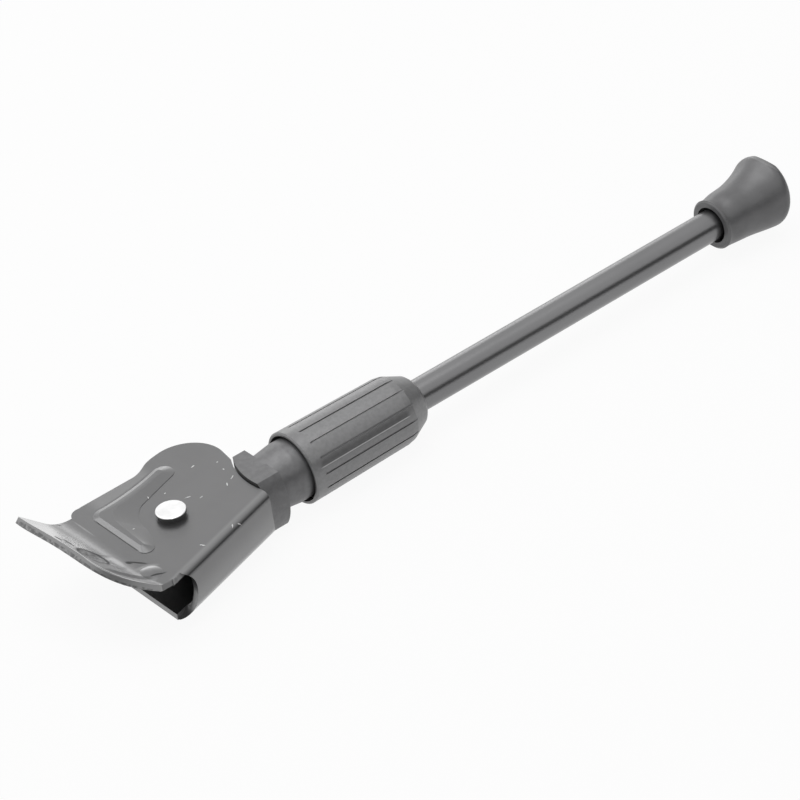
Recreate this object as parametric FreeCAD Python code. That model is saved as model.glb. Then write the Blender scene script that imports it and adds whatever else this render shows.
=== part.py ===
import FreeCAD, Part
import math
import os

# Side kickstand for a bicycle, leg down, lying as photographed. Millimetres.
# It is modelled about the pivot: X runs along the leg to the foot, Y to the bracket's
# open side, Z out through the upper cheek. The last step moves it to its own origin,
# the middle of the seat that takes the chain stay.
Vec = FreeCAD.Vector
X_DIR = Vec(1, 0, 0)
Z_DIR = Vec(0, 0, 1)

# Driving sizes
ROD_D = 12.0
TUBE_D = 23.0
SLEEVE_WALL = 1.2
SHEET = 2.4
BRACKET_H = 18.0
RIVET_D = 8.0
SEAT_TO_PIVOT = 21.0
LEG_LENGTH = 283.2

# Named clearances, each a radius or a single gap
RUNNING_FIT = 0.05
SEAT_GAP = 0.6
RIM_GAP = 1.15
HOOK_GAP = 0.35

# Bracket
CHEEK_Z = BRACKET_H / 2
CHEEK_IN = CHEEK_Z - SHEET
UPPER_BEND_R = 2.6
LOWER_BEND_R = 4.3
SPINE_ANGLE = math.radians(17.0)
SPINE_POINT = Vec(29.0, -16.1, 0)
SPINE_END_X = 29.4
FRONT_X = -SEAT_TO_PIVOT
OPEN_Y = 28.0
CORNER_R = 3.0
EAR_X = 20.1
EAR_Y = 18.7
EAR_R = 14.2
NOTCH_R = 30.4
NOTCH_X = 59.1
NOTCH_Y = -5.7
EMBOSS_H = 0.9
LIP_ROOT = 3.4
LIP_CURL = 1.3
DENT_R = 5.4
DENT_DEPTH = 0.9
BULGE_R = 4.2
BULGE_H = 0.6
RELIEF_R = 9.7

# Leg head and tube
TUBE_R = TUBE_D / 2
COLLAR_TOP = TUBE_R - 1.4
COLLAR_FLAT = 9.5
COLLAR_SIDE = 13.3
COLLAR_UNDER = 10.0
COLLAR_END = 38.7
BLEND_START = 36.0
BLEND_END = 47.0
HEAD_WALL = 41.0
HEAD_HOLE_R = 7.2
TUBE_BORE_R = TUBE_R - 2.0
THREAD_R = TUBE_R - 0.5
THREAD_START = 66.0
TUBE_END = 95.0
CONE_LENGTH = 6.0
CONE_RISE = 0.7

# Pivot and spring
BUSH_WALL = 1.2
WIRE_D = 1.6
COIL_R = 4.8
COIL_START = 26.0
COIL_LENGTH = 20.0
COIL_TURNS = 11.5
ANCHOR_X = 54.0
ANCHOR_D = 4.0

# Adjusting sleeve and collet
SLEEVE_R = TUBE_R + RIM_GAP + SLEEVE_WALL
SLEEVE_START = 50.6
SHOULDER_START = 96.0
SHOULDER_END = 104.0
SLEEVE_END = 105.4
SLEEVE_TAPER = 0.65
RIM_DEPTH = 15.0
GROOVE_COUNT = 14
GROOVE_TURN = 5.0
GROOVE_W = 0.7
GROOVE_D = 0.45
GROOVE_START = 55.0
COLLET_FLANGE = 2.5

# Rod and foot
ROD_START = 71.0
GUIDE_LENGTH = 6.0
FOOT_LENGTH = 30.2
SOLE_THICK = 10.0
FOOT_SMALL_R = 10.1
FOOT_LARGE_R = 14.5
FOOT_SHIFT = 2.3
FOOT_ROUND = 3.5
FOOT_TILT = 5.0
FACET_ANGLE = math.radians(40.0)
FACET_SETBACK = 0.9
FOOT_MOUTH_GAP = 1.2
FOOT_CHAMFER = 0.9


def cylinder(radius, length, start, direction):
    return Part.makeCylinder(radius, length, start, direction)


def along_x(radius, x0, x1):
    return cylinder(radius, x1 - x0, Vec(x0, 0, 0), X_DIR)


def cone_x(r0, r1, x0, x1):
    return Part.makeCone(r0, r1, x1 - x0, Vec(x0, 0, 0), X_DIR)


def polygon_edges(points):
    return [Part.makeLine(a, b) for a, b in zip(points, points[1:])]


def revolve_x(points):
    """Turn a closed outline of (x, radius) points about the leg axis."""
    corners = [Vec(x, r, 0) for x, r in points]
    face = Part.Face(Part.Wire(polygon_edges(corners + corners[:1])))
    return face.revolve(Vec(0, 0, 0), X_DIR, 360)


def prism(wire, z0, z1):
    """Stand a flat outline drawn at height 0 between two heights."""
    face = Part.Face(wire)
    face.translate(Vec(0, 0, z0))
    return face.extrude(Vec(0, 0, z1 - z0))


def arc(a, b, c):
    return Part.Arc(Vec(*a), Vec(*b), Vec(*c)).toShape()


def line(a, b):
    return Part.makeLine(Vec(*a), Vec(*b))


def round_point(centre, radius, degrees):
    turn = math.radians(degrees)
    return (centre[0] + radius * math.cos(turn), centre[1] + radius * math.sin(turn), 0)


def ear_point(degrees):
    return round_point((EAR_X, EAR_Y), EAR_R, degrees)


def notch_point(y):
    return (NOTCH_X - math.sqrt(NOTCH_R ** 2 - (y - NOTCH_Y) ** 2), y, 0)


def cheek_outline():
    """Plan of both cheeks: spine end, leg notch, ear, open edge, straight front."""
    notch_low = notch_point(-12.0)
    notch_high = notch_point(10.0)
    ear_low = ear_point(-6.0)
    ear_high = ear_point(98.0)
    open_start = (4.0, OPEN_Y, 0)
    low_y = -60.0
    waist = Vec(EAR_X - 0.58 * EAR_R, EAR_Y + 0.89 * EAR_R, 0)
    corner = (FRONT_X + CORNER_R, OPEN_Y - CORNER_R, 0)
    ogee = Part.BSplineCurve()
    ogee.interpolate(
        Points=[Vec(*ear_high), waist, Vec(*open_start)],
        InitialTangent=Vec(-8, -1.1, 0),
        FinalTangent=Vec(-8, -0.6, 0),
    )
    edges = [
        line((SPINE_END_X, low_y, 0), (SPINE_END_X, notch_low[1], 0)),
        line((SPINE_END_X, notch_low[1], 0), notch_low),
        arc(notch_low, notch_point(NOTCH_Y), notch_high),
        line(notch_high, ear_low),
        arc(ear_low, ear_point(45.0), ear_high),
        ogee.toShape(),
        line(open_start, (corner[0], OPEN_Y, 0)),
        arc((corner[0], OPEN_Y, 0), round_point(corner, CORNER_R, 135.0), (FRONT_X, corner[1], 0)),
        line((FRONT_X, corner[1], 0), (FRONT_X, low_y, 0)),
        line((FRONT_X, low_y, 0), (SPINE_END_X, low_y, 0)),
    ]
    return Part.Wire(edges)


def folded_channel():
    """The U of folded sheet, as a long bar along the slanting spine."""
    channel = bent_block(0.0, CHEEK_Z, UPPER_BEND_R, LOWER_BEND_R)
    inner_r = max(UPPER_BEND_R - SHEET, SHEET / 4)
    channel = channel.cut(bent_block(SHEET, CHEEK_IN, inner_r, LOWER_BEND_R - SHEET))
    channel.rotate(Vec(0, 0, 0), Z_DIR, math.degrees(SPINE_ANGLE))
    channel.translate(SPINE_POINT)
    return channel


def bent_block(y, half_height, upper_r, lower_r):
    """Long block whose two edges on the spine side are rounded."""
    reach = 110.0
    block = Part.makeBox(reach, reach, 2 * half_height, Vec(-reach / 2, y, -half_height))
    block = block.makeFillet(upper_r, [spine_edge(block, y, half_height)])
    return block.makeFillet(lower_r, [spine_edge(block, y, -half_height)])


def spine_edge(block, y, z):
    for edge in block.Edges:
        middle = edge.CenterOfMass
        if abs(middle.x) < 1e-6 and abs(middle.y - y) < 1e-6 and abs(middle.z - z) < 1e-6:
            return edge
    raise ValueError("no edge along the spine")


def lip_section(y, reach, rise):
    """One cut across the flared lip: flat root, a bend, then a straight flank."""
    slope = LIP_CURL * math.atan2(rise, reach)
    sin, cos = math.sin(slope), math.cos(slope)
    bend = (reach * sin - rise * cos) / (sin * sin - cos * (1 - cos))
    flank = (reach - bend * sin) / cos
    x0 = FRONT_X - LIP_ROOT
    inside = FRONT_X + 2.0
    middle = slope / 2

    def on_bend(radius, turn):
        return Vec(x0 - radius * math.sin(turn), y, CHEEK_Z + bend - radius * math.cos(turn))

    top_end = on_bend(bend, slope)
    low_end = on_bend(bend + SHEET, slope)
    run = Vec(-flank * cos, 0, flank * sin)
    root = [Vec(x0, y, CHEEK_IN), Vec(inside, y, CHEEK_IN), Vec(inside, y, CHEEK_Z), Vec(x0, y, CHEEK_Z)]
    edges = polygon_edges(root)
    edges.append(Part.Arc(root[3], on_bend(bend, middle), top_end).toShape())
    edges.append(Part.makeLine(top_end, top_end + run))
    edges.append(Part.makeLine(top_end + run, low_end + run))
    edges.append(Part.makeLine(low_end + run, low_end))
    edges.append(Part.Arc(low_end, on_bend(bend + SHEET, middle), root[0]).toShape())
    return Part.Wire(edges)


def flared_lip():
    """Upper cheek's lip: wide and high at the open side, dying out towards the spine."""
    stations = [
        (OPEN_Y - CORNER_R, 18.8, 12.0),
        (13.0, 17.7, 11.4),
        (2.0, 16.2, 10.4),
        (-9.0, 14.6, 8.4),
        (-17.0, 11.2, 5.0),
        (-23.0, 6.8, 2.4),
        (-28.4, 1.0, 0.25),
    ]
    return Part.makeLoft([lip_section(*station) for station in stations], True, False)


def boomerang(corners, z):
    """Closed ring with a straight back: each corner is followed by the middle of the arc after it."""
    points = [Vec(x, y, z) for x, y in corners]
    edges = [Part.makeLine(points[0], points[1])]
    looped = points[1:] + points[:1]
    for index in range(0, len(looped) - 1, 2):
        edges.append(Part.Arc(*looped[index:index + 3]).toShape())
    return Part.Wire(edges)


def emboss():
    """Pressed boomerang: steep along its back, sinking gently to a fine step at the pivot side."""
    foot = [
        (-19.4, -7.5), (-19.4, 17.0), (-18.4, 20.2), (-15.2, 21.6), (-1.5, 22.7), (11.5, 25.8),
        (16.4, 22.6), (13.0, 18.0), (4.0, 15.0), (-4.0, 12.2), (-8.6, 6.9), (-10.4, 0.0),
        (-11.8, -5.0), (-14.2, -9.4), (-17.4, -10.8),
    ]
    ridge = [
        (-17.7, -6.6), (-17.7, 16.2), (-17.0, 18.4), (-14.8, 19.5), (-1.4, 20.7), (11.0, 23.7),
        (12.5, 23.0), (11.6, 21.6), (2.6, 19.3), (-7.0, 17.6), (-12.4, 16.2), (-15.4, 10.0),
        (-16.0, 1.6), (-16.3, -6.2), (-17.0, -7.0),
    ]
    step = 0.15 * EMBOSS_H
    levels = [(foot, -step), (foot, step), (ridge, EMBOSS_H)]
    return Part.makeLoft([boomerang(ring, CHEEK_Z + rise) for ring, rise in levels], True, True)


def spine_mouth():
    """Round relief cut through the fold at the spine's front end, no deeper than the bends."""
    far = 60.0
    drill = cylinder(RELIEF_R, 2 * far, Vec(FRONT_X - 1, -far, 0.6), Vec(0, 1, 0))
    low_z = LOWER_BEND_R - CHEEK_Z
    high_z = CHEEK_Z - UPPER_BEND_R
    limits = [
        (-far, -far), (LOWER_BEND_R, -far), (LOWER_BEND_R, low_z),
        (UPPER_BEND_R, high_z), (UPPER_BEND_R, far), (-far, far),
    ]
    points = [Vec(-2 * far, depth, z) for depth, z in limits]
    keep = Part.Face(Part.Wire(polygon_edges(points + points[:1]))).extrude(Vec(4 * far, 0, 0))
    keep.rotate(Vec(0, 0, 0), Z_DIR, math.degrees(SPINE_ANGLE))
    keep.translate(SPINE_POINT)
    return drill.common(keep)


def lip_top(body, x, y):
    """Height of the sheet's upper face at one place in plan."""
    probe = Part.makeLine(Vec(x, y, 0), Vec(x, y, 4 * CHEEK_Z))
    return probe.common(body).BoundBox.ZMax


def on_lip(body, x, y):
    """Place on the sheet's upper face and the way it faces there."""
    step = 0.5
    rise_x = (lip_top(body, x + step, y) - lip_top(body, x - step, y)) / (2 * step)
    rise_y = (lip_top(body, x, y + step) - lip_top(body, x, y - step)) / (2 * step)
    return Vec(x, y, lip_top(body, x, y)), Vec(-rise_x, -rise_y, 1).normalize()


def ball_radius(radius, depth):
    """Ball whose cap has this radius and depth."""
    return (radius ** 2 + depth ** 2) / (2 * depth)


def lip_dent(body):
    """Ball that leaves the round dent beside the lip's edge."""
    place, facing = on_lip(body, FRONT_X - 13.6, -3.4)
    ball = ball_radius(DENT_R, DENT_DEPTH)
    return Part.makeSphere(ball, place + facing * (ball - DENT_DEPTH))


def lip_bulge(body):
    """Low round swelling where the lip runs out towards the spine."""
    place, facing = on_lip(body, FRONT_X - 3.0, -20.4)
    ball = ball_radius(BULGE_R, BULGE_H)
    cap = Part.makeSphere(ball, place - facing * (ball - BULGE_H))
    return cap.common(cylinder(BULGE_R, 2 * BULGE_H, place - facing * BULGE_H, facing))


def upper_corner():
    """Rounded corner of the upper cheek where the lip starts."""
    radius = CORNER_R + 1
    return cylinder(radius, SHEET, Vec(FRONT_X + 1, OPEN_Y - radius, CHEEK_IN), Z_DIR)


def bracket():
    cheeks = prism(cheek_outline(), -CHEEK_Z - 1, CHEEK_Z + 1)
    body = folded_channel().common(cheeks).cut(spine_mouth())
    body = body.fuse(upper_corner()).fuse(flared_lip())
    body = body.cut(lip_dent(body)).fuse(lip_bulge(body)).fuse(emboss())
    body = body.cut(cylinder(RIVET_D / 2, BRACKET_H + 2, Vec(0, 0, -CHEEK_Z - 1), Z_DIR))
    return body.removeSplitter()


def rivet_head(base_z, side, radius, height):
    """Low button: a drum with a rounded rim."""
    head = cylinder(radius, height, Vec(0, 0, base_z), Z_DIR * side)
    rim_z = base_z + side * height
    rim = [e for e in head.Edges if abs(e.CenterOfMass.z - rim_z) < 1e-6 and len(e.Vertexes) == 1]
    return head.makeFillet(height * 0.45, rim)


def pivot_rivet():
    neck = 0.2 * RIVET_D
    shank = cylinder(RIVET_D / 2, BRACKET_H, Vec(0, 0, -CHEEK_Z), Z_DIR)
    collar = cylinder(0.56 * RIVET_D, neck, Vec(0, 0, CHEEK_Z), Z_DIR)
    top = rivet_head(CHEEK_Z + neck, 1, 0.675 * RIVET_D, 0.13 * RIVET_D)
    low = rivet_head(-CHEEK_Z, -1, 0.725 * RIVET_D, 0.25 * RIVET_D)
    return shank.fuse(collar).fuse(top).fuse(low).removeSplitter()


def pivot_bush():
    bore = RIVET_D / 2 + RUNNING_FIT
    length = 2 * (CHEEK_IN - RUNNING_FIT)
    start = Vec(0, 0, -length / 2)
    bush = cylinder(bore + BUSH_WALL, length, start, Z_DIR)
    return bush.cut(cylinder(bore, length, start, Z_DIR))


def wire_arc(centre, radius, start_deg, sweep_deg):
    """Bent stretch of spring wire lying flat, and its two ends."""
    turn = math.radians(start_deg)
    outward = Vec(math.cos(turn), math.sin(turn), 0)
    along = Vec(-math.sin(turn), math.cos(turn), 0)
    start = centre + outward * radius
    section = Part.Face(Part.Wire([Part.makeCircle(WIRE_D / 2, start, along)]))
    bent = section.revolve(centre, Z_DIR, sweep_deg)
    last = math.radians(start_deg + sweep_deg)
    end = centre + Vec(math.cos(last), math.sin(last), 0) * radius
    return bent, start, end


def wire_run(a, b):
    """Straight stretch of spring wire, with a slightly fuller knuckle where it bends."""
    run = b - a
    knuckle = WIRE_D / 2 * 1.12
    straight = cylinder(WIRE_D / 2, run.Length, a, run)
    return straight.fuse(Part.makeSphere(knuckle, a)).fuse(Part.makeSphere(knuckle, b))


def spring_coil():
    pitch = COIL_LENGTH / COIL_TURNS
    helix = Part.Wire(Part.makeHelix(pitch, COIL_LENGTH, COIL_R).Edges)
    section = Part.Wire([Part.makeCircle(WIRE_D / 2, Vec(COIL_R, 0, 0), Vec(0, 1, 0))])
    coil = helix.makePipeShell([section], True, True)
    coil.rotate(Vec(0, 0, 0), Vec(0, 1, 0), 90)
    coil.rotate(Vec(0, 0, 0), X_DIR, -90)
    coil.translate(Vec(COIL_START, 0, 0))
    return coil


def return_spring():
    """Hook round the bush, close coil down the tube, hook round the anchor pin."""
    near_r = RIVET_D / 2 + RUNNING_FIT + BUSH_WALL + HOOK_GAP + WIRE_D / 2
    far_r = ANCHOR_D / 2 + HOOK_GAP + WIRE_D / 2
    near, _, near_end = wire_arc(Vec(0, 0, 0), near_r, 10, 260)
    far, far_tip, _ = wire_arc(Vec(ANCHOR_X, 0, 0), far_r, 190, 260)
    coil_near = Vec(COIL_START, -COIL_R, 0)
    coil_far = Vec(COIL_START + COIL_LENGTH, COIL_R, 0)
    near_hook = near.fuse(wire_run(near_end, coil_near))
    far_hook = far.fuse(wire_run(coil_far, far_tip))
    return spring_coil().fuse(near_hook).fuse(far_hook)


def collar_section():
    """End of the leg: a flat top below the tube's, round sides, an under flat level with the tube."""
    top_right = (0, COLLAR_FLAT, COLLAR_TOP)
    low_right = (0, COLLAR_UNDER, -TUBE_R)
    low_left = (0, -COLLAR_UNDER, -TUBE_R)
    top_left = (0, -COLLAR_FLAT, COLLAR_TOP)
    edges = [
        line(top_left, top_right),
        arc(top_right, (0, COLLAR_SIDE, 0), low_right),
        line(low_right, low_left),
        arc(low_left, (0, -COLLAR_SIDE, 0), top_left),
    ]
    return Part.Face(Part.Wire(edges))


def leg_tube():
    """Flat-topped head whose rounded end seats in the notch, tube, thread and cone mouth."""
    collar = collar_section().extrude(Vec(COLLAR_END, 0, 0))
    nose = cylinder(NOTCH_R - SEAT_GAP, 2 * TUBE_D, Vec(NOTCH_X, NOTCH_Y, -TUBE_D), Z_DIR)
    body = collar.common(nose)
    body = body.fuse(cone_x(COLLAR_TOP, TUBE_R, BLEND_START, BLEND_END))
    body = body.fuse(along_x(TUBE_R, BLEND_END, THREAD_START))
    body = body.fuse(along_x(THREAD_R, THREAD_START - 1, TUBE_END))
    body = body.cut(along_x(HEAD_HOLE_R, 0, HEAD_WALL + 1))
    body = body.cut(along_x(TUBE_BORE_R, HEAD_WALL, TUBE_END))
    body = body.cut(cone_x(TUBE_BORE_R, TUBE_BORE_R + CONE_RISE, TUBE_END - CONE_LENGTH, TUBE_END))
    body = body.cut(anchor_pin())
    return body.removeSplitter()


def anchor_pin():
    length = 2 * (TUBE_R - 0.4)
    return cylinder(ANCHOR_D / 2, length, Vec(ANCHOR_X, 0, -length / 2), Z_DIR)


def sleeve_radius(x):
    share = (x - SLEEVE_START) / (SHOULDER_START - SLEEVE_START)
    return SLEEVE_R - SLEEVE_TAPER * share


def sleeve_groove():
    """Thin slab that cuts one lengthwise groove, following the taper into the shoulder."""
    x0, x1 = GROOVE_START, SHOULDER_START
    x2 = SHOULDER_START + 0.6 * (SHOULDER_END - SHOULDER_START)
    r2 = sleeve_radius(x1) - 1.1
    out = 2 * SLEEVE_R
    corners = [
        (x0, sleeve_radius(x0)), (x0 + 1.0, sleeve_radius(x0) - GROOVE_D),
        (x1, sleeve_radius(x1) - GROOVE_D), (x2, r2), (x2, out), (x0, out),
    ]
    points = [Vec(x, -GROOVE_W / 2, r) for x, r in corners]
    face = Part.Face(Part.Wire(polygon_edges(points + points[:1])))
    return face.extrude(Vec(0, GROOVE_W, 0))


def adjust_sleeve():
    rod_hole = ROD_D / 2 + HOOK_GAP
    rim = 0.5
    end_r = ROD_D / 2 + 3.6
    outline = [
        (SLEEVE_START, TUBE_R + RIM_GAP),
        (SLEEVE_START, SLEEVE_R - rim),
        (SLEEVE_START + rim, SLEEVE_R),
        (SHOULDER_START - 1.5, sleeve_radius(SHOULDER_START - 1.5)),
        (SHOULDER_START + 1.0, sleeve_radius(SHOULDER_START) - 0.4),
        (SHOULDER_END, end_r),
        (SLEEVE_END - 0.4, end_r - 1.0),
        (SLEEVE_END, end_r - 2.0),
        (SLEEVE_END, rod_hole),
        (collet_end() + RUNNING_FIT, rod_hole),
        (collet_end() + RUNNING_FIT, THREAD_R + RUNNING_FIT),
        (THREAD_START + 2, THREAD_R + RUNNING_FIT),
        (SLEEVE_START + RIM_DEPTH, TUBE_R + RIM_GAP),
    ]
    sleeve = revolve_x(outline)
    groove = sleeve_groove()
    for index in range(GROOVE_COUNT):
        cutter = groove.copy()
        cutter.rotate(Vec(0, 0, 0), X_DIR, GROOVE_TURN + 360.0 * index / GROOVE_COUNT)
        sleeve = sleeve.cut(cutter)
    return sleeve


def collet_end():
    return TUBE_END + 1.0 + COLLET_FLANGE


def clamp_collet():
    """Split cone that the sleeve presses into the tube's mouth to grip the rod."""
    tip = TUBE_END - CONE_LENGTH + 1.0
    flange = TUBE_END + 1.0
    gap = 0.35
    outer = cone_x(TUBE_BORE_R - gap, TUBE_BORE_R + CONE_RISE - gap, tip, flange)
    body = outer.fuse(along_x(THREAD_R - gap, flange, collet_end()))
    body = body.cut(along_x(ROD_D / 2 + RUNNING_FIT, tip - 1, collet_end() + 1))
    slit = Part.makeBox(collet_end() - tip + 2, 1.5, TUBE_D, Vec(tip - 1, -0.75, 0))
    return body.cut(slit)


def foot_start():
    return LEG_LENGTH - FOOT_LENGTH


def leg_rod():
    end = LEG_LENGTH - SOLE_THICK
    rod = along_x(ROD_D / 2, ROD_START, end)
    tips = [e for e in rod.Edges if len(e.Vertexes) == 1]
    return rod.makeChamfer(0.8, tips)


def guide_bush():
    bush = along_x(TUBE_BORE_R - RUNNING_FIT, ROD_START + 1, ROD_START + 1 + GUIDE_LENGTH)
    return bush.cut(along_x(ROD_D / 2, ROD_START, ROD_START + GUIDE_LENGTH + 2))


def foot_circle(share, flare):
    """One ring of the foot; the flaring end leans to the upper side and the tread tilts under."""
    radius = FOOT_SMALL_R + flare * (FOOT_LARGE_R - FOOT_SMALL_R)
    lean = FOOT_SHIFT * flare ** 2
    ring = Part.Wire([Part.makeCircle(radius, Vec(0, 0, 0), X_DIR)])
    ring.rotate(Vec(0, 0, 0), Vec(0, 1, 0), FOOT_TILT * share ** 4)
    ring.translate(Vec(foot_start() + share * FOOT_LENGTH, 0, lean))
    return ring


def foot_body():
    """Trumpet from the rod's mouth to the tread, its end edge well rounded."""
    rings = [
        (0.0, 0.0), (0.2, 0.04), (0.38, 0.14), (0.51, 0.26),
        (0.64, 0.45), (0.77, 0.7), (0.88, 0.95), (1.0, 1.0),
    ]
    body = Part.makeLoft([foot_circle(*ring) for ring in rings], True, False)
    rounded = []
    for edge in body.Edges:
        at_end = abs(edge.CenterOfMass.x - LEG_LENGTH) < 1e-3
        if at_end and edge.Length > 2 * FOOT_LARGE_R:
            rounded.append(edge)
    return body.makeFillet(FOOT_ROUND, rounded)


def foot_facet():
    """Block beyond the slanting flat on the upper edge of the tread."""
    size = 4 * FOOT_LARGE_R
    block = Part.makeBox(size, size, size, Vec(0, -size / 2, -size / 2))
    block.rotate(Vec(0, 0, 0), Vec(0, 1, 0), -math.degrees(FACET_ANGLE))
    block.translate(Vec(LEG_LENGTH - FACET_SETBACK, 0, FOOT_LARGE_R))
    return block


def rubber_foot():
    x0 = foot_start()
    mouth_r = FOOT_SMALL_R - FOOT_CHAMFER
    foot = foot_body().cut(foot_facet())
    foot = foot.common(cone_x(mouth_r, mouth_r + 2 * FOOT_LENGTH, x0, x0 + 2 * FOOT_LENGTH))
    foot = foot.cut(along_x(ROD_D / 2, x0 - 1, LEG_LENGTH - SOLE_THICK))
    return foot.cut(along_x(ROD_D / 2 + FOOT_MOUTH_GAP, x0 - 1, x0 + FOOT_LENGTH / 5))


def main():
    os.makedirs("parts", exist_ok=True)
    pieces = {
        "bracket": bracket(),
        "pivot_rivet": pivot_rivet(),
        "pivot_bush": pivot_bush(),
        "return_spring": return_spring(),
        "leg_tube": leg_tube(),
        "anchor_pin": anchor_pin(),
        "adjust_sleeve": adjust_sleeve(),
        "clamp_collet": clamp_collet(),
        "leg_rod": leg_rod(),
        "guide_bush": guide_bush(),
        "rubber_foot": rubber_foot(),
    }
    for name, shape in pieces.items():
        shape.translate(Vec(SEAT_TO_PIVOT, 0, 0))
        shape.exportStep("parts/" + name + ".step")


main()
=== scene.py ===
import math

import bpy
from mathutils import Matrix, Vector


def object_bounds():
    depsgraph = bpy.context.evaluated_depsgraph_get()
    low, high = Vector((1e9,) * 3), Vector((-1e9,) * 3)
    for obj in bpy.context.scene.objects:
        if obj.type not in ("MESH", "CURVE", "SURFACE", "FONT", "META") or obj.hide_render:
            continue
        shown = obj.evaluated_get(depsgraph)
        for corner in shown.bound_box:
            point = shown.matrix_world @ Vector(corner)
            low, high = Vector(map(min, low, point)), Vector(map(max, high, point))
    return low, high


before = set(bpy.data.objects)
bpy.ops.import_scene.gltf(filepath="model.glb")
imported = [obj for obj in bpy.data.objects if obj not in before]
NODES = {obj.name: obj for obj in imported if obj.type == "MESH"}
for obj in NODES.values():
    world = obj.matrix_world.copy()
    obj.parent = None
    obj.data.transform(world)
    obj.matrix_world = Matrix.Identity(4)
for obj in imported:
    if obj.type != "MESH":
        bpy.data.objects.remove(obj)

bl_info = {
    "name": "Side kickstand",
    "version": (1, 0, 0),
    "blender": (4, 5, 0),
    "location": "View3D > Sidebar > Kickstand",
    "description": "Finishes a bicycle side kickstand and sets it on a pale studio floor",
    "category": "Object",
}

CAD_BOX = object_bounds()
MM = 0.001


def grey(tone):
    """An opaque grey."""
    return (tone, tone, tone, 1.0)


# Colours that are not in the panel
# Pale for bare chips, and for painted light and painted highlights
PALE_WEAR_AND_LIGHT = grey(0.8)
CUT_STEEL = grey(0.62)
# Near black for painted shade, a painted dark reflection and dark marks
DARK_SHADE_AND_MARKS = grey(0.02)
# Painted shade inside the fold
INSIDE_SHADE = grey(0.02)
ZINC = grey(0.8)
# Painted shade on the rivet's rim and below
RIVET_RIM_SHADE = grey(0.16)
STEEL = (0.42, 0.42, 0.43, 1.0)
BLACK_PLASTIC = grey(0.1)
WHITE = grey(1.0)
DARK_CLOTH = grey(0.015)

# The Mix node's colour sockets by number, because their names repeat for each kind of data
MIX_FIRST = 6
MIX_SECOND = 7
MIX_RESULT = 2

# Part of a noise pattern that is spread from dark to light
CLOUDS = (0.3, 0.7)

# Down to the foot's tread, places are in mm in the part's frame, turns in degrees, and pairs are ranges

# The bracket's sheet and its fold
SHEET = 2.4
CHEEK_INSIDE = 6.6
CHEEK_TOP = CHEEK_INSIDE + SHEET
SPINE_TURN = 17.0
SPINE_Y = 31.4

# Painted light, painted highlights and painted shade along the fold and inside it, as depths behind the
# web's outer face
WEB_FACE = (0.6, 2.0)
FOLD_SHINE = (1.4, 3.4)
FOLD_CREASE = (0.25, 0.9)
CHANNEL_WALL = (1.9, 2.3)

# Heights over which wear, painted highlights and painted shade fade in or out
WEB_FADE = (-9.0, 6.0)
CHIPS_FADE = (4.0, 6.0)
CUT_FACE_FADE = (6.0, 7.0)
CREASE_FADE = (6.4, 7.2)
SHEEN_FADE = (10.0, 15.0)
TOP_FADE = 0.5

# The pressing: the foot of its straight back, and the bowed foot of its long finger
PRESS_BACK_X = (1.25, 1.7)
PRESS_BACK_Y = (-7.0, 17.0)
FINGER_X = 5.8
FINGER_Y = 21.6
FINGER_LENGTH = 26.7
FINGER_BOW = 4.2
FINGER_LINE = (-0.1, 0.35)
FINGER_LINE_X = (6.5, 28.0)
FINGER_MARGIN = (0.3, 1.5)
FINGER_MARGIN_X = (6.0, 30.0)

# The lip's upper edge in plan: its place, its slant and its bend towards the fold
LIP_EDGE_X = -19.11
LIP_EDGE_SLANT = 0.1235
LIP_BEND_Y = -7.0
LIP_BEND = 0.025

# A painted highlight along that edge and zones of the lip's cut face, as distances from that edge, and
# how bright each one is
EDGE_HIGHLIGHT = (-0.25, 0.2)
EDGE_HIGHLIGHT_Y = (-26.0, -22.0)
EDGE_HIGHLIGHT_SHINE = 0.85
SHEARED_BAND = (-1.0, -0.2)
SHEARED_SHINE = 0.3
TORN_BAND = (-2.0, -1.0)
TORN_SHINE = 0.35
ZONE_FADE = 0.1

# Oval marks: middle in x and y, half length, half width and turn
FINGER_RIDGE = (18.6, 20.9, 14.0, 1.9, 9.0)
LIP_FOLD = (-16.4, 6.8, 3.6, 1.2, 90.0)
LIP_RIPPLE = (-9.0, -11.0, 3.0, 1.4, -60.0)
LIP_HOLLOW = (-9.6, -18.4, 8.0, 1.6, -41.0)
LIP_DENT = (-13.6, -3.8, 6.6, 4.3, 90.0)
LIP_DARK_MARKS = (
    (-18.3, 8.3, 2.4, 0.8, 90.0),
    (-15.9, 6.2, 3.8, 1.0, 90.0),
    (-4.4, -10.2, 1.6, 0.9, -57.0),
    (-2.4, -12.3, 4.6, 0.5, -57.0),
    (-1.6, -22.9, 3.2, 0.45, -18.0),
    (-8.7, 23.9, 1.2, 0.3, -60.0),
)
LIP_CRESTS = (
    (-7.3, -7.8, 4.5, 1.5, 90.0),
    (-1.8, -16.8, 4.2, 1.6, -27.0),
    (-3.5, 17.0, 6.5, 0.4, 90.0),
)

# On the lip: where its painted sheen begins, the size of its small folds, and the side of its dent with
# painted shade
SHEEN_Y = (-4.0, 6.0)
LIP_FOLD_DEPTH = 0.5
LIP_RIPPLE_HEIGHT = 0.3
DENT_BACK_X = (-13.0, -11.0)
DENT_BACK_Y = (-6.0, -2.0)

# How much the trough's painted shade and the dent's dull flecks count beside the dark marks
DULL_SHARE = 0.6

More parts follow.
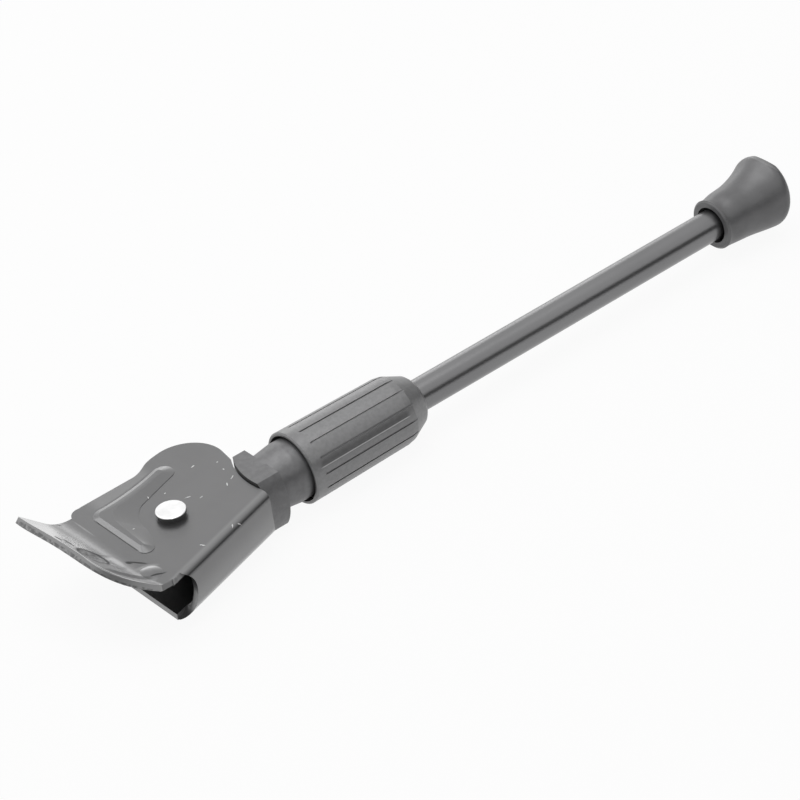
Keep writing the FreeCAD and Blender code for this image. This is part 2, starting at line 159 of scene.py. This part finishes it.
# Chips in the bracket's paint: x and y, half length and turn
CHIPS = (
    (43.0, 17.2, 0.8, 10.0), (50.0, 12.6, 0.5, 40.0), (48.9, 7.7, 0.5, 100.0), (48.1, 1.6, 1.2, 30.0),
    (44.4, -0.3, 0.9, 60.0), (31.0, 4.1, 1.1, -20.0), (34.0, 0.6, 0.8, 15.0), (31.4, -20.1, 0.8, 50.0),
    (34.0, -20.4, 0.6, -20.0), (17.9, -21.2, 1.1, 120.0), (7.5, 3.2, 0.5, 0.0), (21.5, 14.3, 0.5, 80.0),
    (27.0, 12.0, 0.4, 0.0), (52.0, 4.0, 0.5, 70.0),
)
CHIP_HALF_WIDTH = 0.22
CHIP_RAGGED = 5.0

# How much smoother the paint is under the painted sheen, how rough the painted shade and dark marks on
# the lip are, and how much rougher the tube is
SHEEN_SMOOTHER = 0.2
MARK_ROUGHNESS = 0.9
TUBE_ROUGHER = 0.1

# Height of the rim round the rivet's bright face, below which the rivet is coloured dark as painted
# shade
RIVET_RIM = 11.35

# Fine grain of the tube, the sleeve and the foot, as a bump in metres
GRAIN_HEIGHT = 0.0003

# The sleeve's grooved length, its painted highlight line turned about the leg from +Y towards +Z, and
# the painted dark reflection beside that line
GROOVED_X = (75.5, 115.0)
HIGHLIGHT_LINE_TURN = 160.6
HIGHLIGHT_LINE_HALF_WIDTH = 0.12
STREAK_START = (0.1, 0.2)
STREAK_FADE = (1.0, 3.4)

# The slanting flat on the foot's tread: turn of its normal from +X to +Z, and distance from the origin
TREAD_FLAT_TURN = 40.0
TREAD_FLAT_REACH = 241.65
TREAD_PALE_BAND = 1.5
TREAD_PALE_FADE = 0.2

# The camera fitted to the photograph: place in metres, lens and sensor in mm
CAMERA_PLACE = Vector((-416.65, -758.33, 638.30)) * MM
CAMERA_RIGHT = Vector((0.7598, -0.6390, -0.1198))
CAMERA_UP = Vector((0.4414, 0.3718, 0.8166))
CAMERA_LENS = 144.0
CAMERA_SENSOR = 36.0
CAMERA_NEAR = 0.05
CAMERA_FAR = 50.0

# The stage, in metres
FLOOR_SIZE = 8.0
FLOOR_GLOW = 0.93
WALL_RADIUS = 1.2
WALL_SIDES = 96
WALL_X = 0.15
WALL_RAISE = 0.04
WALL_CUT_PLACE = (0.15, 0.15, 0.0)
WALL_CUT_NORMAL = (-0.34, 0.94, 0.0)

# Lamps: name, place, width and height in metres, and share of the lamp power
LAMPS = (
    ("top lamp", (0.1, 0.1, 1.2), 1.0, 1.0, 1.0),
    ("back lamp", (0.7, 1.08, 0.3), 0.6, 0.3, 0.15),
    ("left lamp", (-0.13, 0.87, 0.94), 0.5, 0.5, 0.3),
)


class Wire:
    """A socket of a node tree that takes part in Python expressions."""

    def __init__(self, tree, socket):
        self.tree = tree
        self.socket = socket

    def maths(self, operation, *values):
        """One Math node on the values, in their order."""
        return add_node(self.tree, "ShaderNodeMath", {"operation": operation}, dict(enumerate(values)))

    def __add__(self, other):
        return self.maths("ADD", self, other)

    def __radd__(self, other):
        return self.maths("ADD", other, self)

    def __sub__(self, other):
        return self.maths("SUBTRACT", self, other)

    def __rsub__(self, other):
        return self.maths("SUBTRACT", other, self)

    def __mul__(self, other):
        return self.maths("MULTIPLY", self, other)

    def __rmul__(self, other):
        return self.maths("MULTIPLY", other, self)

    def __truediv__(self, other):
        return self.maths("DIVIDE", self, other)

    def __rtruediv__(self, other):
        return self.maths("DIVIDE", other, self)

    def __abs__(self):
        return self.maths("ABSOLUTE", self)

    def highest(self, other):
        return self.maths("MAXIMUM", self, other)

    def lowest(self, other):
        return self.maths("MINIMUM", self, other)

    def above(self, low, high):
        """0 below low, 1 above high, smooth between."""
        settings = {"interpolation_type": "SMOOTHSTEP"}
        inputs = {"Value": self, "From Min": low, "From Max": high, "To Min": 0.0, "To Max": 1.0}
        return add_node(self.tree, "ShaderNodeMapRange", settings, inputs)

    def below(self, low, high):
        """1 below low, 0 above high, smooth between."""
        return 1.0 - self.above(low, high)

    def between(self, low, high, soft):
        """1 from low to high, with each end faded by soft to both sides."""
        return self.above(low - soft, low + soft) * self.below(high - soft, high + soft)


def set_socket(tree, socket, value):
    """Link a wire to a socket, or set a plain value on it."""
    if isinstance(value, Wire):
        tree.links.new(value.socket, socket)
    else:
        socket.default_value = value


def add_node(tree, kind, settings=None, inputs=None, output=0):
    """Add one node: its settings first, then the values or links of its sockets."""
    made = tree.nodes.new(kind)
    for name, value in (settings or {}).items():
        setattr(made, name, value)
    for name, value in (inputs or {}).items():
        set_socket(tree, made.inputs[name], value)
    return Wire(tree, made.outputs[output])


class Finish:
    """A new material with its shader, its object coordinates in mm and a few patterns."""

    def __init__(self, name):
        self.material = bpy.data.materials.new(name)
        self.material.use_nodes = True
        self.tree = self.material.node_tree
        self.shader = self.tree.nodes["Principled BSDF"]
        self.coords = self.node("ShaderNodeTexCoord", output="Object")
        self.x, self.y, self.z = [self.axis(index) for index in range(3)]

    def node(self, kind, settings=None, inputs=None, output=0):
        return add_node(self.tree, kind, settings, inputs, output)

    def axis(self, index):
        """One object coordinate in mm."""
        return self.node("ShaderNodeSeparateXYZ", inputs={"Vector": self.coords}, output=index) / MM

    def noise(self, scale, detail=2.0, stretch=(1.0, 1.0, 1.0)):
        """A cloudy pattern from 0 to 1."""
        placed = self.node("ShaderNodeMapping", inputs={"Vector": self.coords, "Scale": stretch})
        inputs = {"Vector": placed, "Scale": scale, "Detail": detail}
        return self.node("ShaderNodeTexNoise", inputs=inputs)

    def mix(self, share, first, second):
        """The first colour, covered by a share of the second."""
        inputs = {"Factor": share, MIX_FIRST: first, MIX_SECOND: second}
        return self.node("ShaderNodeMix", {"data_type": "RGBA"}, inputs, MIX_RESULT)

    def tint(self, colour, pattern, spread):
        """The colour, varied a little lighter and darker by a pattern."""
        dark = tuple(c * (1.0 - spread) for c in colour[:3]) + (1.0,)
        light = tuple(min(1.0, c * (1.0 + spread)) for c in colour[:3]) + (1.0,)
        return self.mix(pattern.above(*CLOUDS), dark, light)

    def oval(self, x, y, along, across, turn):
        """0 at the middle of a flat oval, 1 at its rim, in plan; sizes in mm, turn in degrees."""
        cos = math.cos(math.radians(turn))
        sin = math.sin(math.radians(turn))
        dx = self.x - x
        dy = self.y - y
        long = (dx * cos + dy * sin) / along
        short = (dy * cos - dx * sin) / across
        return long * long + short * short

    def nearest(self, marks):
        """0 at the middle of the nearest of some oval marks, 1 at its rim."""
        near, *others = [self.oval(*mark) for mark in marks]
        for mark in others:
            near = near.lowest(mark)
        return near

    def swelling(self, mark, height):
        """Height of a rounded swelling over an oval mark, or of a hollow where it is below 0."""
        return (1.0 - self.oval(*mark)).highest(0.0) * height

    def feed(self, name, value):
        set_socket(self.tree, self.shader.inputs[name], value)

    def bump(self, height, strength, distance):
        inputs = {"Height": height, "Strength": strength, "Distance": distance}
        self.feed("Normal", self.node("ShaderNodeBump", inputs=inputs))

    def put_on(self, *names):
        for name in names:
            slots = NODES[name].data.materials
            slots.clear()
            slots.append(self.material)


class PaintLooks(bpy.types.PropertyGroup):
    """Paint of the bracket, tube and rod."""

    bracket: bpy.props.FloatVectorProperty(
        name="Bracket", description="Colour of the bracket's dark grey paint",
        subtype="COLOR", size=4, min=0.0, max=1.0, default=(0.113, 0.113, 0.115, 1.0))
    tube: bpy.props.FloatVectorProperty(
        name="Tube", description="Colour of the tube's satin paint",
        subtype="COLOR", size=4, min=0.0, max=1.0, default=(0.168, 0.168, 0.171, 1.0))
    rod: bpy.props.FloatVectorProperty(
        name="Rod", description="Colour of the rod's gloss paint",
        subtype="COLOR", size=4, min=0.0, max=1.0, default=(0.205, 0.205, 0.208, 1.0))
    flake: bpy.props.FloatProperty(
        name="Flake", description="Share of metal flake in the bracket's and tube's paint",
        subtype="FACTOR", min=0.0, max=1.0, default=0.6)
    gloss: bpy.props.FloatProperty(
        name="Roughness", description="Roughness of the bracket's paint, from which the tube's follows",
        subtype="FACTOR", min=0.0, max=1.0, default=0.34)
    coat: bpy.props.FloatProperty(
        name="Coat", description="Clear gloss over the bracket's paint",
        subtype="FACTOR", min=0.0, max=1.0, default=1.0)
    chips: bpy.props.FloatProperty(
        name="Chips", description="How pale the chipped paint shows",
        subtype="FACTOR", min=0.0, max=1.0, default=0.8)


class MouldingLooks(bpy.types.PropertyGroup):
    """Plastic sleeve and rubber foot."""

    sleeve: bpy.props.FloatVectorProperty(
        name="Sleeve", description="Colour of the moulded sleeve",
        subtype="COLOR", size=4, min=0.0, max=1.0, default=(0.245, 0.245, 0.248, 1.0))
    foot: bpy.props.FloatVectorProperty(
        name="Foot", description="Colour of the rubber foot",
        subtype="COLOR", size=4, min=0.0, max=1.0, default=(0.15, 0.15, 0.153, 1.0))


class StageLooks(bpy.types.PropertyGroup):
    """Floor, surround, dark wall and lamps."""

    floor: bpy.props.FloatVectorProperty(
        name="Floor", description="Colour of the floor",
        subtype="COLOR", size=4, min=0.0, max=1.0, default=(0.9, 0.9, 0.9, 1.0))
    sky: bpy.props.FloatProperty(
        name="Sky", description="Strength of the light from all round",
        min=0.0, max=2.0, default=0.4)
    wall: bpy.props.FloatProperty(
        name="Dark wall", description="Height of the dark wall that gloss mirrors",
        unit="LENGTH", min=0.05, max=1.0, default=0.48)
    lamp: bpy.props.FloatProperty(
        name="Lamp", description="Power of the large soft lamp, of which the others have a share",
        unit="POWER", min=0.0, max=50.0, default=6.0)


# Wear, marks, painted highlights and painted shade on the bracket: masks from 0 to 1, and the distances
# that they are made from

def on_top(finish, fade_end=0.1):
    """1 on the upper cheek's top face and above it, fading out just below."""
    full = CHEEK_TOP - fade_end
    return finish.z.above(full - TOP_FADE, full)


def web_depth(finish):
    """Distance in mm behind the outer face of the fold's web."""
    spine = math.radians(SPINE_TURN)
    return (finish.y + SPINE_Y) * math.cos(spine) - finish.x * math.sin(spine)


def web_foot_painted_light(finish):
    """Painted light: paint made paler towards the web's lower edge, standing in for light from the
    floor.
    """
    return web_depth(finish).below(*WEB_FACE) * finish.z.below(*WEB_FADE)


def fold_painted_highlight(finish):
    """Painted highlight: paint made paler along the cheek's edge above the fold."""
    return web_depth(finish).between(*FOLD_SHINE, soft=0.8) * on_top(finish, fade_end=0.2)


def fold_crease_shade(finish):
    """Painted shade: a dark line where the web is folded from the upper cheek."""
    return web_depth(finish).between(*FOLD_CREASE, soft=0.25) * finish.z.above(*CREASE_FADE)


def channel_inside_shade(finish):
    """Painted shade on the faces inside the fold."""
    level = abs(finish.z).below(CHEEK_INSIDE - 0.05, CHEEK_INSIDE + 0.15)
    return level * web_depth(finish).above(*CHANNEL_WALL)


def finger_ridge_highlight(finish):
    """Painted highlight: paint made paler along the ridge of the pressing's long finger."""
    ridge = finish.oval(*FINGER_RIDGE).below(0.0, 1.1)
    return ridge * finish.z.above(CHEEK_TOP - 0.1, CHEEK_TOP + 0.2)


def beyond_finger(finish):
    """Distance in mm from the foot of the long finger towards the plate's edge."""
    along = (finish.x - FINGER_X) / FINGER_LENGTH
    return finish.y - along * along * FINGER_BOW - FINGER_Y


def finger_margin(finish):
    """Paint made paler between the long finger and the plate's edge."""
    margin = beyond_finger(finish).above(*FINGER_MARGIN)
    return margin * finish.x.between(*FINGER_MARGIN_X, soft=3.0) * on_top(finish, fade_end=0.2)


def press_shade_lines(finish):
    """Painted shade: fine dark lines at the foot of the pressing's straight back and of its finger."""
    back = finish.x.between(*PRESS_BACK_X, soft=0.1) * finish.y.between(*PRESS_BACK_Y, soft=0.8)
    finger = beyond_finger(finish).between(*FINGER_LINE, soft=0.1)
    finger = finger * finish.x.between(*FINGER_LINE_X, soft=2.0)
    return (back + finger) * finish.z.between(CHEEK_TOP - 0.1, CHEEK_TOP + 0.4, soft=0.05)


def chips(finish):
    """Bare specks and scratches on the upper cheek and along the fold."""
    specks = [(x, y, along, CHIP_HALF_WIDTH, turn) for x, y, along, turn in CHIPS]
    ragged = finish.nearest(specks) + (finish.noise(scale=2600.0) - 0.5) * CHIP_RAGGED
    return ragged.below(0.2, 1.2) * finish.z.above(*CHIPS_FADE)


def lip_edge(finish):
    """Distance in plan from the lip's upper edge, in mm: above 0 on the lip, below 0 on its cut face."""
    bend = (LIP_BEND_Y - finish.y).highest(0.0)
    return finish.x - LIP_EDGE_X + finish.y * LIP_EDGE_SLANT - bend * bend * LIP_BEND


def inside_edge(finish):
    """1 on the lip, just inside its upper edge."""
    return lip_edge(finish).above(0.1, 0.3)


def cut_face(finish):
    """Painted highlight along the lip's upper edge, the lip's sheared face and the torn lower half of
    that face.
    """
    edge = lip_edge(finish)
    torn_metal = finish.noise(scale=700.0, detail=4.0).above(0.4, 0.65)
    edge_highlight = edge.between(*EDGE_HIGHLIGHT, soft=ZONE_FADE) * finish.y.above(*EDGE_HIGHLIGHT_Y) * EDGE_HIGHLIGHT_SHINE
    sheared = edge.between(*SHEARED_BAND, soft=ZONE_FADE) * SHEARED_SHINE
    torn = edge.between(*TORN_BAND, soft=ZONE_FADE) * torn_metal * TORN_SHINE
    return (edge_highlight + sheared + torn) * finish.z.above(*CUT_FACE_FADE)


def lip_painted_sheen(finish):
    """Painted sheen: paint made paler on the raised end of the lip."""
    return finish.z.above(*SHEEN_FADE) * finish.y.above(*SHEEN_Y) * inside_edge(finish)


def lip_crest_highlights(finish):
    """Painted highlights: paint made paler on the lip's swellings and along its root."""
    return finish.nearest(LIP_CRESTS).below(0.1, 1.2) * on_top(finish)


def lip_dark_marks(finish):
    """Dark ragged marks on the bent lip."""
    ragged = finish.nearest(LIP_DARK_MARKS) + finish.noise(scale=350.0, detail=4.0) - 0.5
    return ragged.below(0.3, 1.1)


def lip_hollow_shade(finish):
    """Painted shade in the trough between the swelling and the lip's edge, where the paint is also made
    dull.
    """
    return finish.oval(*LIP_HOLLOW).below(0.4, 1.3) * DULL_SHARE


def lip_dent_shade_and_flecks(finish):
    """Painted shade along the back rim of the lip's round dent, and dull flecks inside it."""
    dent = finish.oval(*LIP_DENT)
    back = finish.y.above(*DENT_BACK_Y).highest(finish.x.above(*DENT_BACK_X))
    rim = dent.between(0.65, 1.0, soft=0.2) * back
    flecks = dent.below(0.7, 0.9) * finish.noise(scale=500.0, detail=3.0).above(*CLOUDS)
    return rim.highest(flecks * DULL_SHARE)


def lip_shade_and_marks(finish):
    """All the painted shade and dark marks on the lip, where the paint is also made dull."""
    shade_and_marks = lip_dark_marks(finish).highest(lip_dent_shade_and_flecks(finish)).highest(lip_hollow_shade(finish))
    return shade_and_marks * on_top(finish) * inside_edge(finish)


def lip_wrinkles(finish):
    """Height in mm of the small folds in the pressed lip."""
    fold = finish.swelling(LIP_FOLD, -LIP_FOLD_DEPTH)
    ripple = finish.swelling(LIP_RIPPLE, LIP_RIPPLE_HEIGHT)
    return (fold + ripple) * finish.z.above(CHEEK_TOP - 1.0, CHEEK_TOP + 0.2)


# Finishes

def bracket_paint(looks):
    """Dark glossy paint with its chips and marks, painted highlights and painted shade, the lip's bare
    cut face and painted shade inside the fold.
    """
    finish = Finish("bracket paint")
    painted_sheen = lip_painted_sheen(finish)
    shade_and_marks = lip_shade_and_marks(finish)
    # Layers over the paint: where each lies, how far it covers and its colour
    layers = (
        # Painted light: the web paler towards its foot
        (web_foot_painted_light(finish), 0.2, PALE_WEAR_AND_LIGHT),
        # Painted highlight along the long finger's ridge
        (finger_ridge_highlight(finish), 0.08, PALE_WEAR_AND_LIGHT),
        (finger_margin(finish), 0.1, PALE_WEAR_AND_LIGHT),
        # Painted highlight along the fold
        (fold_painted_highlight(finish), 0.08, PALE_WEAR_AND_LIGHT),
        # Painted sheen on the lip's raised end
        (painted_sheen, 0.35, PALE_WEAR_AND_LIGHT),
        # Painted shade in the fold's crease
        (fold_crease_shade(finish), 0.6, DARK_SHADE_AND_MARKS),
        # Painted shade at the foot of the pressing
        (press_shade_lines(finish), 0.7, DARK_SHADE_AND_MARKS),
        # Painted highlights on the lip's swellings
        (lip_crest_highlights(finish), 0.15, PALE_WEAR_AND_LIGHT),
        # Painted shade in the lip's trough and dent, and dark marks
        (shade_and_marks, 0.5, DARK_SHADE_AND_MARKS),
        (cut_face(finish), 1.0, CUT_STEEL),
        (chips(finish), looks.chips, PALE_WEAR_AND_LIGHT),
        # Painted shade inside the fold
        (channel_inside_shade(finish), 1.0, INSIDE_SHADE),
    )
    colour = finish.tint(looks.bracket, finish.noise(scale=60.0, detail=3.0), spread=0.05)
    for mask, cover, tone in layers:
        colour = finish.mix(mask * cover, colour, tone)
    finish.feed("Base Color", colour)
    finish.feed("Metallic", looks.flake * (1.0 - shade_and_marks))
    smooth = looks.gloss - painted_sheen * SHEEN_SMOOTHER
    finish.feed("Roughness", smooth + shade_and_marks * (MARK_ROUGHNESS - looks.gloss))
    finish.feed("Coat Weight", looks.coat * (1.0 - shade_and_marks))
    finish.feed("Coat Roughness", 0.25)
    finish.bump(lip_wrinkles(finish), strength=1.0, distance=MM)
    return finish


def rivet_zinc():
    """Zinc that is bright on the upper head's face, with painted shade on its rim and below."""
    finish = Finish("bright zinc")
    cloud = finish.noise(scale=400.0, detail=3.0)
    face = finish.z.above(RIVET_RIM - 0.15, RIVET_RIM)
    finish.feed("Base Color", finish.mix(face, RIVET_RIM_SHADE, finish.tint(ZINC, cloud, spread=0.04)))
    finish.feed("Metallic", 1.0)
    finish.feed("Roughness", 0.3 + 0.1 * cloud)
    return finish


def tube_paint(looks):
    """Satin paint with a fine grain."""
    finish = Finish("tube paint")
    grain = finish.noise(scale=500.0, detail=3.0)
    finish.feed("Base Color", finish.tint(looks.tube, grain, spread=0.08))
    finish.feed("Metallic", looks.flake)
    finish.feed("Roughness", looks.gloss + TUBE_ROUGHER)
    finish.bump(grain, strength=0.12, distance=GRAIN_HEIGHT)
    return finish


def rod_paint(looks):
    """Smooth metallic paint, clouded along the rod."""
    finish = Finish("rod paint")
    cloud = finish.noise(scale=80.0, stretch=(0.2, 1.0, 1.0))
    finish.feed("Base Color", finish.tint(looks.rod, cloud, spread=0.05))
    finish.feed("Metallic", 0.9)
    finish.feed("Roughness", 0.29)
    return finish


def above_highlight_line(finish):
    """Distance in mm round the sleeve from its painted highlight line, upwards."""
    turn = math.radians(HIGHLIGHT_LINE_TURN)
    return finish.y * math.sin(turn) - finish.z * math.cos(turn)


def grooved_side(finish):
    """1 on the near half of the sleeve's grooved length."""
    return finish.y.below(-1.0, 0.0) * finish.x.between(*GROOVED_X, soft=1.0)


def highlight_line(finish):
    """Painted highlight: a pale line along the sleeve's near side."""
    half = HIGHLIGHT_LINE_HALF_WIDTH
    return above_highlight_line(finish).between(-half, half, soft=half / 2) * grooved_side(finish)


def dark_reflection_band(finish):
    """Painted dark reflection beside the highlight line, fading upwards."""
    rise = above_highlight_line(finish)
    return rise.above(*STREAK_START) * rise.below(*STREAK_FADE) * grooved_side(finish)


def sleeve_plastic(looks):
    """Grained plastic with a painted highlight line and a painted dark reflection beside it."""
    finish = Finish("sleeve plastic")
    grain = finish.noise(scale=700.0)
    colour = finish.tint(looks.sleeve, grain, spread=0.06)
    # Painted dark reflection beside the highlight line
    colour = finish.mix(dark_reflection_band(finish) * 0.4, colour, DARK_SHADE_AND_MARKS)
    # Painted highlight line
    colour = finish.mix(highlight_line(finish) * 0.7, colour, PALE_WEAR_AND_LIGHT)
    finish.feed("Base Color", colour)
    finish.feed("Metallic", 0.4)
    finish.feed("Roughness", 0.38)
    finish.bump(grain, strength=0.08, distance=GRAIN_HEIGHT)
    return finish


def tread_flat(finish):
    """Rubber made paler on and beside the slanting flat of the tread."""
    turn = math.radians(TREAD_FLAT_TURN)
    reach = finish.x * math.cos(turn) + finish.z * math.sin(turn)
    start = TREAD_FLAT_REACH - TREAD_PALE_BAND
    return reach.above(start - TREAD_PALE_FADE, start + TREAD_PALE_FADE)


def foot_rubber(looks):
    """Grained rubber, paler at the tread's flat."""
    finish = Finish("foot rubber")
    colour = finish.tint(looks.foot, finish.noise(scale=200.0, detail=3.0), spread=0.06)
    finish.feed("Base Color", finish.mix(tread_flat(finish) * 0.12, colour, PALE_WEAR_AND_LIGHT))
    finish.feed("Metallic", 0.3)
    finish.feed("Roughness", 0.4)
    finish.bump(finish.noise(scale=900.0), strength=0.05, distance=GRAIN_HEIGHT)
    return finish


def plain_steel():
    """Unpainted steel with faint marks."""
    finish = Finish("plain steel")
    marks = finish.noise(scale=300.0, detail=4.0)
    finish.feed("Base Color", finish.tint(STEEL, marks, spread=0.1))
    finish.feed("Metallic", 1.0)
    finish.feed("Roughness", 0.3 + 0.15 * marks)
    return finish


def plain_plastic():
    """Black plastic."""
    finish = Finish("plain plastic")
    grain = finish.noise(scale=600.0)
    finish.feed("Base Color", finish.tint(BLACK_PLASTIC, grain, spread=0.1))
    finish.feed("Roughness", 0.5)
    return finish


# Stage

def seen_by_eye(tree):
    """1 for rays that show the surround: straight to the camera, or mirrored in gloss."""
    straight = add_node(tree, "ShaderNodeLightPath", output="Is Camera Ray")
    mirrored = add_node(tree, "ShaderNodeLightPath", output="Is Glossy Ray")
    return straight.highest(mirrored)


def matt(name, colour, roughness):
    """A plain dull material for the stage."""
    material = bpy.data.materials.new(name)
    material.use_nodes = True
    shader = material.node_tree.nodes["Principled BSDF"]
    shader.inputs["Base Color"].default_value = colour
    shader.inputs["Roughness"].default_value = roughness
    return material


def pale_floor(looks):
    """Dull floor that glows white to the eye and lights the part only as a dull one would."""
    material = matt("pale floor", looks.floor, 0.9)
    tree = material.node_tree
    lit = Wire(tree, tree.nodes["Principled BSDF"].outputs[0])
    glow = add_node(tree, "ShaderNodeEmission", inputs={"Color": WHITE, "Strength": 1.0})
    share = seen_by_eye(tree) * FLOOR_GLOW
    blend = add_node(tree, "ShaderNodeMixShader", inputs={0: share, 1: lit, 2: glow})
    tree.links.new(blend.socket, tree.nodes["Material Output"].inputs["Surface"])
    return material


def lay_floor(looks):
    """Large flat floor under the lowest point of the part."""
    bpy.ops.object.select_all(action="DESELECT")
    low = CAD_BOX[0].z
    bpy.ops.mesh.primitive_plane_add(size=FLOOR_SIZE, location=(0.0, 0.0, low))
    floor = bpy.context.object
    floor.name = "floor"
    bpy.ops.object.transform_apply(location=True, rotation=True, scale=True)
    floor.data.materials.append(pale_floor(looks))


def add_lamp(name, place, width, height, power):
    """One oblong soft lamp that faces the middle of the part."""
    bpy.ops.object.light_add(type="AREA", location=place)
    lamp = bpy.context.object
    lamp.name = name
    lamp.data.shape = "RECTANGLE"
    lamp.data.size = width
    lamp.data.size_y = height
    lamp.data.energy = power
    aim = (CAD_BOX[0] + CAD_BOX[1]) / 2
    lamp.rotation_euler = (aim - Vector(place)).to_track_quat("-Z", "Y").to_euler()


def hang_lamps(looks):
    for name, place, width, height, share in LAMPS:
        add_lamp(name, place, width, height, looks.lamp * share)


def stand_dark_wall(looks):
    """Dark low wall round the front, out of the camera's sight, that gloss mirrors as a streak."""
    bpy.ops.object.select_all(action="DESELECT")
    middle = CAD_BOX[0].z + WALL_RAISE + looks.wall / 2
    bpy.ops.mesh.primitive_cylinder_add(
        vertices=WALL_SIDES, radius=WALL_RADIUS, depth=looks.wall, end_fill_type="NOTHING",
        location=(WALL_X, 0.0, middle))
    wall = bpy.context.object
    wall.name = "dark wall"
    bpy.ops.object.mode_set(mode="EDIT")
    bpy.ops.mesh.select_all(action="SELECT")
    bpy.ops.mesh.bisect(plane_co=WALL_CUT_PLACE, plane_no=WALL_CUT_NORMAL, clear_outer=True)
    bpy.ops.object.mode_set(mode="OBJECT")
    bpy.ops.object.transform_apply(location=True, rotation=True, scale=True)
    wall.visible_camera = False
    wall.data.materials.append(matt("dark cloth", DARK_CLOTH, 1.0))


def light_surround(looks):
    """White surround at full strength to the eye, and weaker as a light on the part."""
    world = bpy.data.worlds.new("white surround")
    bpy.context.scene.world = world
    world.use_nodes = True
    tree = world.node_tree
    backdrop = tree.nodes["Background"]
    seen = seen_by_eye(tree)
    strength = seen + (1.0 - seen) * looks.sky
    tree.links.new(strength.socket, backdrop.inputs["Strength"])
    backdrop.inputs["Color"].default_value = WHITE


def set_camera():
    """The photograph's camera, as the scene's own."""
    bpy.ops.object.camera_add(location=CAMERA_PLACE)
    camera = bpy.context.object
    camera.name = "photo camera"
    back = CAMERA_RIGHT.cross(CAMERA_UP)
    turn = Matrix((CAMERA_RIGHT, CAMERA_UP, back)).transposed()
    camera.rotation_mode = "QUATERNION"
    camera.rotation_quaternion = turn.to_quaternion()
    camera.data.lens = CAMERA_LENS
    camera.data.sensor_width = CAMERA_SENSOR
    camera.data.clip_start = CAMERA_NEAR
    camera.data.clip_end = CAMERA_FAR
    bpy.context.scene.camera = camera


class KICKSTAND_OT_bracket(bpy.types.Operator):
    """Paint the folded bracket, with its wrinkled lip and chipped edges"""

    bl_idname = "kickstand.bracket"
    bl_label = "Bracket"

    def execute(self, context):
        bracket_paint(context.scene.kickstand_paint).put_on("bracket")
        return {"FINISHED"}


class KICKSTAND_OT_rivet(bpy.types.Operator):
    """Plate the pivot rivet with bright zinc"""

    bl_idname = "kickstand.rivet"
    bl_label = "Rivet"

    def execute(self, context):
        rivet_zinc().put_on("pivot_rivet")
        return {"FINISHED"}


class KICKSTAND_OT_leg(bpy.types.Operator):
    """Paint the leg's tube and its rod"""

    bl_idname = "kickstand.leg"
    bl_label = "Leg"

    def execute(self, context):
        looks = context.scene.kickstand_paint
        tube_paint(looks).put_on("leg_tube")
        rod_paint(looks).put_on("leg_rod")
        return {"FINISHED"}


class KICKSTAND_OT_mouldings(bpy.types.Operator):
    """Finish the plastic sleeve and the rubber foot"""

    bl_idname = "kickstand.mouldings"
    bl_label = "Sleeve and foot"

    def execute(self, context):
        looks = context.scene.kickstand_mouldings
        sleeve_plastic(looks).put_on("adjust_sleeve")
        foot_rubber(looks).put_on("rubber_foot")
        return {"FINISHED"}


class KICKSTAND_OT_inside(bpy.types.Operator):
    """Finish the pieces inside: spring, bush, pin, collet and guide"""

    bl_idname = "kickstand.inside"
    bl_label = "Inside"

    def execute(self, context):
        plain_steel().put_on("return_spring", "pivot_bush", "anchor_pin")
        plain_plastic().put_on("clamp_collet", "guide_bush")
        return {"FINISHED"}


class KICKSTAND_OT_stage(bpy.types.Operator):
    """Add the pale floor, the soft lamps, the dark wall, the white surround and the camera"""

    bl_idname = "kickstand.stage"
    bl_label = "Stage"

    def execute(self, context):
        looks = context.scene.kickstand_stage
        lay_floor(looks)
        hang_lamps(looks)
        stand_dark_wall(looks)
        light_surround(looks)
        set_camera()
        context.scene.view_settings.view_transform = "Standard"
        return {"FINISHED"}


class KICKSTAND_PT_panel(bpy.types.Panel):
    """Settings of the looks, and buttons for each piece and for the stage"""

    bl_idname = "KICKSTAND_PT_panel"
    bl_label = "Side kickstand"
    bl_space_type = "VIEW_3D"
    bl_region_type = "UI"
    bl_category = "Kickstand"

    def draw(self, context):
        for name, group in GROUPS.items():
            looks = getattr(context.scene, name)
            for setting in group.__annotations__:
                self.layout.prop(looks, setting)
        for operator in OPERATORS:
            self.layout.operator(operator.bl_idname)


GROUPS = {
    "kickstand_paint": PaintLooks,
    "kickstand_mouldings": MouldingLooks,
    "kickstand_stage": StageLooks,
}
OPERATORS = (
    KICKSTAND_OT_bracket,
    KICKSTAND_OT_rivet,
    KICKSTAND_OT_leg,
    KICKSTAND_OT_mouldings,
    KICKSTAND_OT_inside,
    KICKSTAND_OT_stage,
)


def register():
    for name, group in GROUPS.items():
        bpy.utils.register_class(group)
        setattr(bpy.types.Scene, name, bpy.props.PointerProperty(type=group))
    for operator in OPERATORS:
        bpy.utils.register_class(operator)
    bpy.utils.register_class(KICKSTAND_PT_panel)


def unregister():
    bpy.utils.unregister_class(KICKSTAND_PT_panel)
    for operator in reversed(OPERATORS):
        bpy.utils.unregister_class(operator)
    for name, group in reversed(GROUPS.items()):
        delattr(bpy.types.Scene, name)
        bpy.utils.unregister_class(group)


def main():
    register()
    bpy.ops.kickstand.bracket()
    bpy.ops.kickstand.rivet()
    bpy.ops.kickstand.leg()
    bpy.ops.kickstand.mouldings()
    bpy.ops.kickstand.inside()
    bpy.ops.kickstand.stage()


if __name__ == "__main__":
    main()
